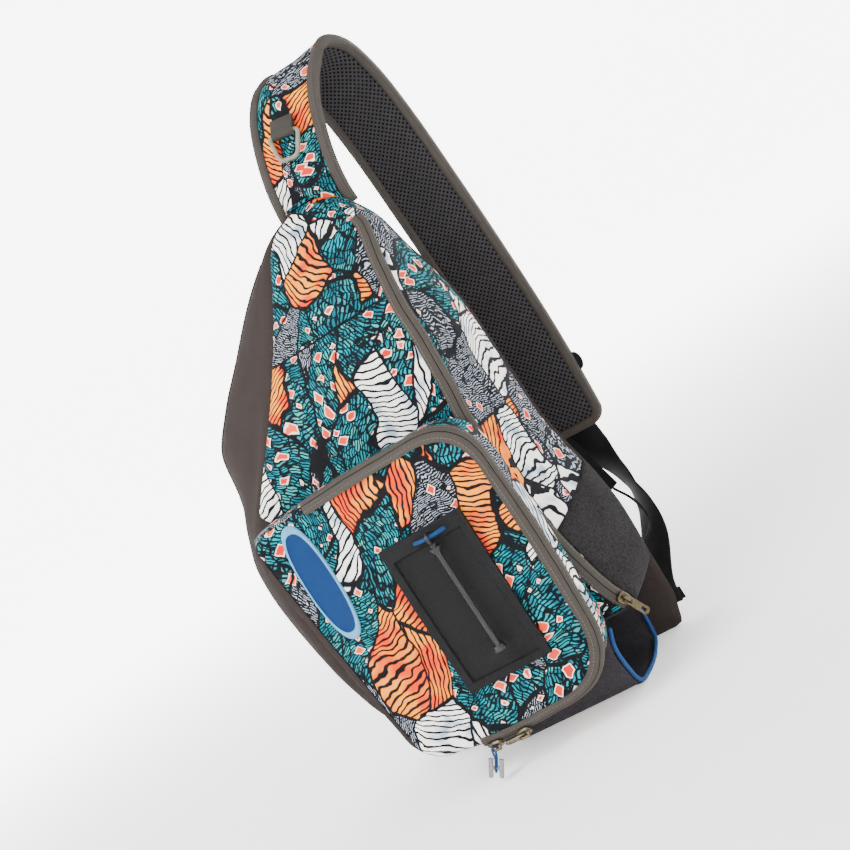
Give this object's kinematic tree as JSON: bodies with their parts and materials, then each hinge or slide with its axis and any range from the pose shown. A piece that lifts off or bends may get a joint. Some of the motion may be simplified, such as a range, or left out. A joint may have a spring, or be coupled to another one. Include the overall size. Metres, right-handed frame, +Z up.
{
  "type": "fishing tackle sling bag",
  "caption": "Teardrop sling pack for fishing tackle, with a printed front pocket, a tippet plate, a bottle sleeve under the body and one padded shoulder strap",
  "frame": {"origin": "middle of the footprint of the bag's box, on the floor under its sleeve", "axes": "+X the viewer's right, where the sleeve's mouth and the main zip are; +Y the wearer's side; +Z up"},
  "size_m": [0.2976, 0.241, 0.5202],
  "materials": {
    "print": "printed ripstop-like polyester, matt",
    "grey_cloth": "smooth coated cloth, dull satin",
    "charcoal": "fine brushed cloth, matt",
    "taupe": "woven tape, matt",
    "mesh": "spacer mesh, matt",
    "webbing": "woven webbing, matt",
    "plate": "moulded, satin",
    "elastic": "braided elastic, matt",
    "blue_patch": "embroidered, with a pale blue border",
    "gunmetal": "dark antique plating",
    "silver": "silver grey, moulded",
    "ring": "pale grey beige, moulded"
  },
  "bodies": {
    "bag": {"body_front": "print", "body_gusset": "print", "side_panel": "grey_cloth", "bottom_panel": "charcoal", "top_panel": "print", "back_panel": "grey_cloth", "main_zip_tape": "taupe", "fly_patch": "charcoal", "pocket_shell": "print", "pocket_front": "print", "pocket_zip_tape": "taupe", "tippet_plate": "plate", "plate_cord": "elastic", "spool_bar": "webbing", "blue_patch": "blue_patch", "bottle_sleeve": "charcoal", "sleeve_cord": "elastic", "strap_cover": "print", "strap_mesh": "mesh", "strap_binding": "taupe", "ring_webbing": "taupe", "main_zip_slider": "gunmetal", "pocket_slider_upper": "gunmetal", "pocket_slider_end": "gunmetal", "pull_cord": "elastic", "pull_grip": "silver", "strap_webbing": "webbing", "webbing_tail": "webbing", "webbing_anchor": "webbing", "keeper_loop": "webbing", "strap_edge_tab": "webbing"},
    "ring": {"d_ring": "ring"},
    "main_pull": {"main_zip_pull": "gunmetal"},
    "pocket_pull": {"pocket_pull_upper": "gunmetal"}
  },
  "joints": [
    {"name": "ring_hinge", "type": "hinge", "parent": "bag", "child": "ring", "pos_m": [0.06636, 0.03333, 0.47108], "axis": [-0.9758, 0.0762, 0.2047], "range_deg": [0, 150]},
    {"name": "main_pull_hinge", "type": "hinge", "parent": "bag", "child": "main_pull", "pos_m": [0.12346, -0.05958, 0.0644], "axis": [-0.6764, -0.5796, -0.4545], "range_deg": [0, 150]},
    {"name": "pocket_pull_hinge", "type": "hinge", "parent": "bag", "child": "pocket_pull", "pos_m": [0.02224, -0.10301, 0.02412], "axis": [-0.0117, -0.7431, 0.6691], "range_deg": [0, 150]}
  ]
}
